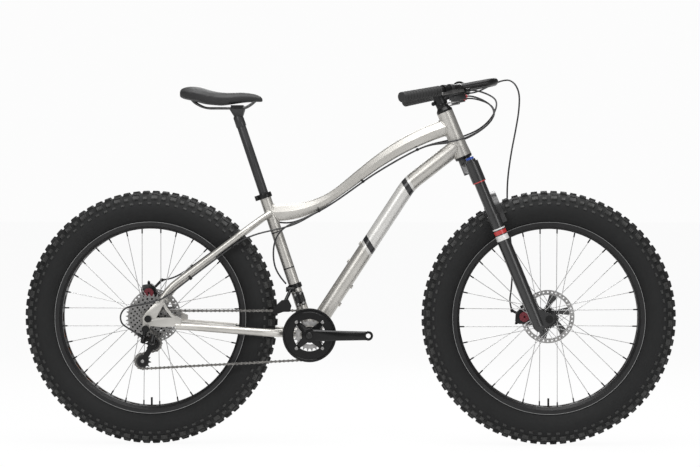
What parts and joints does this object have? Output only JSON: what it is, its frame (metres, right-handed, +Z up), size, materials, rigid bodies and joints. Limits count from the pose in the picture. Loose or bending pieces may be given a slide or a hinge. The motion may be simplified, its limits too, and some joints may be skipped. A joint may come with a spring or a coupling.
{
  "type": "fat tire bike",
  "caption": "Hardtail mountain bike with wide knobby tires, a suspension fork, a swept loop handlebar and cable disc brakes.",
  "frame": {"origin": "on the ground, midway between the two wheels", "axes": "+X forward, +Y to the rider's left, +Z up; the chain is on the right, at minus Y"},
  "size_m": [1.9426, 0.6854, 1.0916],
  "materials": {
    "tire_rubber": "matte",
    "grip_rubber": "matte",
    "cable_sleeve": "satin",
    "saddle_cover": "satin",
    "steel": "satin",
    "raw_alloy": "satin",
    "silver_alloy": "satin",
    "red_plastic": "satin",
    "blue_plastic": "satin",
    "black_plastic": "matte",
    "black_alloy": "satin black"
  },
  "bodies": {
    "frame": {"head_tube": "raw_alloy", "headset": "black_alloy", "seat_tube": "raw_alloy", "seat_collar": "black_alloy", "top_tube": "raw_alloy", "down_tube": "raw_alloy", "dropouts": "raw_alloy", "stays": "raw_alloy", "rear_axle": "black_alloy", "bottom_bracket_shell": "raw_alloy", "bottom_bracket": "black_alloy", "chain": "steel", "rear_caliper": "black_alloy", "rear_derailleur_body": "black_alloy", "front_derailleur_body": "black_alloy", "control_cables": "cable_sleeve"},
    "seat": {"seatpost": "black_alloy", "saddle_clamp": "black_alloy", "saddle_rails": "steel", "saddle": "saddle_cover"},
    "rear_wheel": {"rear_tire": "tire_rubber", "rear_rim": "black_alloy", "rear_hub": "black_alloy", "rear_spokes": "steel", "rear_rotor": "steel"},
    "sprockets": {"cassette": "steel"},
    "crankset": {"drive_crank": "black_alloy", "left_crank": "black_alloy", "chainrings": "steel", "bash_guard": "black_alloy"},
    "derailleur_link": {"rear_derailleur_links": "black_alloy"},
    "derailleur_knuckle": {"rear_derailleur_knuckle": "black_alloy"},
    "derailleur_cage": {"rear_derailleur_cage": "black_alloy"},
    "guide_wheel": {"guide_pulley": "black_plastic"},
    "tension_wheel": {"tension_pulley": "black_plastic"},
    "chain_guide": {"front_derailleur_cage": "black_alloy"},
    "rear_arm": {"rear_brake_arm": "black_alloy"},
    "rear_knob": {"rear_pad_knob": "red_plastic"},
    "steerer": {"fork_upper": "black_alloy", "stem": "black_alloy", "handlebar": "black_alloy", "grips": "grip_rubber", "brake_perches": "black_alloy", "shifter_pods": "black_plastic"},
    "dial": {"lockout_dial": "blue_plastic"},
    "right_blade": {"right_brake_lever": "silver_alloy"},
    "left_blade": {"left_brake_lever": "silver_alloy"},
    "right_thumb": {"right_shift_lever": "silver_alloy"},
    "left_thumb": {"left_shift_lever": "silver_alloy"},
    "lowers": {"fork_lowers": "black_alloy", "front_axle": "black_alloy", "front_caliper": "black_alloy", "front_brake_cable": "cable_sleeve"},
    "front_arm": {"front_brake_arm": "black_alloy"},
    "front_knob": {"front_pad_knob": "red_plastic"},
    "front_wheel": {"front_tire": "tire_rubber", "front_rim": "black_alloy", "front_hub": "black_alloy", "front_spokes": "steel", "front_rotor": "steel"}
  },
  "joints": [
    {"name": "steering", "type": "hinge", "parent": "frame", "child": "steerer", "pos_m": [0.54588, 0, 0.35848], "axis": [-0.3827, 0, 0.9239], "range_deg": [-60, 60], "deforming": ["control_cables"]},
    {"name": "fork_travel", "type": "slide", "parent": "steerer", "child": "lowers", "axis": [-0.3827, 0, 0.9239], "range_m": [0, 0.068], "stiffness_N_per_m": 6000, "springref_m": -0.02, "deforming": ["front_brake_cable"]},
    {"name": "front_wheel_spin", "type": "hinge", "parent": "lowers", "child": "front_wheel", "pos_m": [0.593, 0, 0.378], "axis": [0, 1, 0], "continuous": true},
    {"name": "rear_wheel_spin", "type": "hinge", "parent": "frame", "child": "rear_wheel", "pos_m": [-0.593, 0, 0.378], "axis": [0, 1, 0], "continuous": true},
    {"name": "crank_spin", "type": "hinge", "parent": "frame", "child": "crankset", "pos_m": [-0.116, 0, 0.329], "axis": [0, 1, 0], "continuous": true, "deforming": ["chain"]},
    {"name": "sprocket_spin", "type": "hinge", "parent": "frame", "child": "sprockets", "pos_m": [-0.593, -0.087, 0.378], "axis": [0, 1, 0], "continuous": true},
    {"name": "derailleur_swing", "type": "hinge", "parent": "frame", "child": "derailleur_link", "pos_m": [-0.6062, -0.11785, 0.3138], "axis": [0.1636, 0.5237, 0.8361], "range_deg": [0, 59]},
    {"name": "derailleur_level", "type": "hinge", "parent": "derailleur_link", "child": "derailleur_knuckle", "pos_m": [-0.57434, -0.14721, 0.32596], "axis": [0.1636, 0.5237, 0.8361], "range_deg": [-59, 0]},
    {"name": "cage_swing", "type": "hinge", "parent": "derailleur_knuckle", "child": "derailleur_cage", "pos_m": [-0.578, -0.087, 0.304], "axis": [0, 1, 0], "range_deg": [-50, 15], "stiffness_Nm_per_rad": 0.6},
    {"name": "guide_pulley_spin", "type": "hinge", "parent": "derailleur_cage", "child": "guide_wheel", "pos_m": [-0.578, -0.087, 0.304], "axis": [0, 1, 0], "continuous": true},
    {"name": "tension_pulley_spin", "type": "hinge", "parent": "derailleur_cage", "child": "tension_wheel", "pos_m": [-0.61087, -0.087, 0.25143], "axis": [0, 1, 0], "continuous": true},
    {"name": "chain_guide_swing", "type": "hinge", "parent": "frame", "child": "chain_guide", "pos_m": [-0.1738, -0.03655, 0.46275], "axis": [1, 0, 0], "range_deg": [0, 9]},
    {"name": "right_brake_squeeze", "type": "hinge", "parent": "steerer", "child": "right_blade", "pos_m": [0.33446, -0.20272, 1.0493], "axis": [0.1908, 0, -0.9816], "range_deg": [0, 18], "stiffness_Nm_per_rad": 0.8, "springref_deg": -17.19},
    {"name": "left_brake_squeeze", "type": "hinge", "parent": "steerer", "child": "left_blade", "pos_m": [0.33446, 0.20272, 1.0493], "axis": [-0.1908, 0, 0.9816], "range_deg": [0, 18], "stiffness_Nm_per_rad": 0.8, "springref_deg": -17.19},
    {"name": "right_shift_push", "type": "hinge", "parent": "steerer", "child": "right_thumb", "pos_m": [0.32254, -0.18985, 1.0209], "axis": [-0.1908, 0, 0.9816], "range_deg": [0, 30], "stiffness_Nm_per_rad": 0.3, "springref_deg": -11.46},
    {"name": "left_shift_push", "type": "hinge", "parent": "steerer", "child": "left_thumb", "pos_m": [0.32254, 0.18985, 1.0209], "axis": [0.1908, 0, -0.9816], "range_deg": [0, 30], "stiffness_Nm_per_rad": 0.3, "springref_deg": -11.46},
    {"name": "rear_brake_pull", "type": "hinge", "parent": "frame", "child": "rear_arm", "pos_m": [-0.60836, 0.1, 0.44671], "axis": [0, 1, 0], "range_deg": [0, 20]},
    {"name": "front_brake_pull", "type": "hinge", "parent": "lowers", "child": "front_arm", "pos_m": [0.5226, 0.077, 0.37812], "axis": [0, 1, 0], "range_deg": [0, 20]},
    {"name": "rear_pad_adjust", "type": "hinge", "parent": "frame", "child": "rear_knob", "pos_m": [-0.60836, 0.065, 0.44671], "axis": [0, 1, 0], "range_deg": [-180, 180]},
    {"name": "front_pad_adjust", "type": "hinge", "parent": "lowers", "child": "front_knob", "pos_m": [0.5226, 0.041, 0.37812], "axis": [0, 1, 0], "range_deg": [-180, 180]},
    {"name": "lockout_turn", "type": "hinge", "parent": "steerer", "child": "dial", "pos_m": [0.3591, -0.084, 0.84861], "axis": [-0.3827, 0, 0.9239], "range_deg": [0, 90]},
    {"name": "seat_height", "type": "slide", "parent": "frame", "child": "seat", "axis": [-0.3173, 0, 0.9483], "range_m": [-0.15, 0.04]}
  ],
  "couplings": [
    {"joint": "sprocket_spin", "follows": "crank_spin", "ratio": 3.2727},
    {"joint": "tension_pulley_spin", "follows": "crank_spin", "ratio": 3.2727},
    {"joint": "guide_pulley_spin", "follows": "crank_spin", "ratio": -3.2727},
    {"joint": "derailleur_level", "follows": "derailleur_swing", "ratio": -1},
    {"joint": "rear_brake_pull", "follows": "right_brake_squeeze", "ratio": 1.1111},
    {"joint": "front_brake_pull", "follows": "left_brake_squeeze", "ratio": 1.1111}
  ]
}
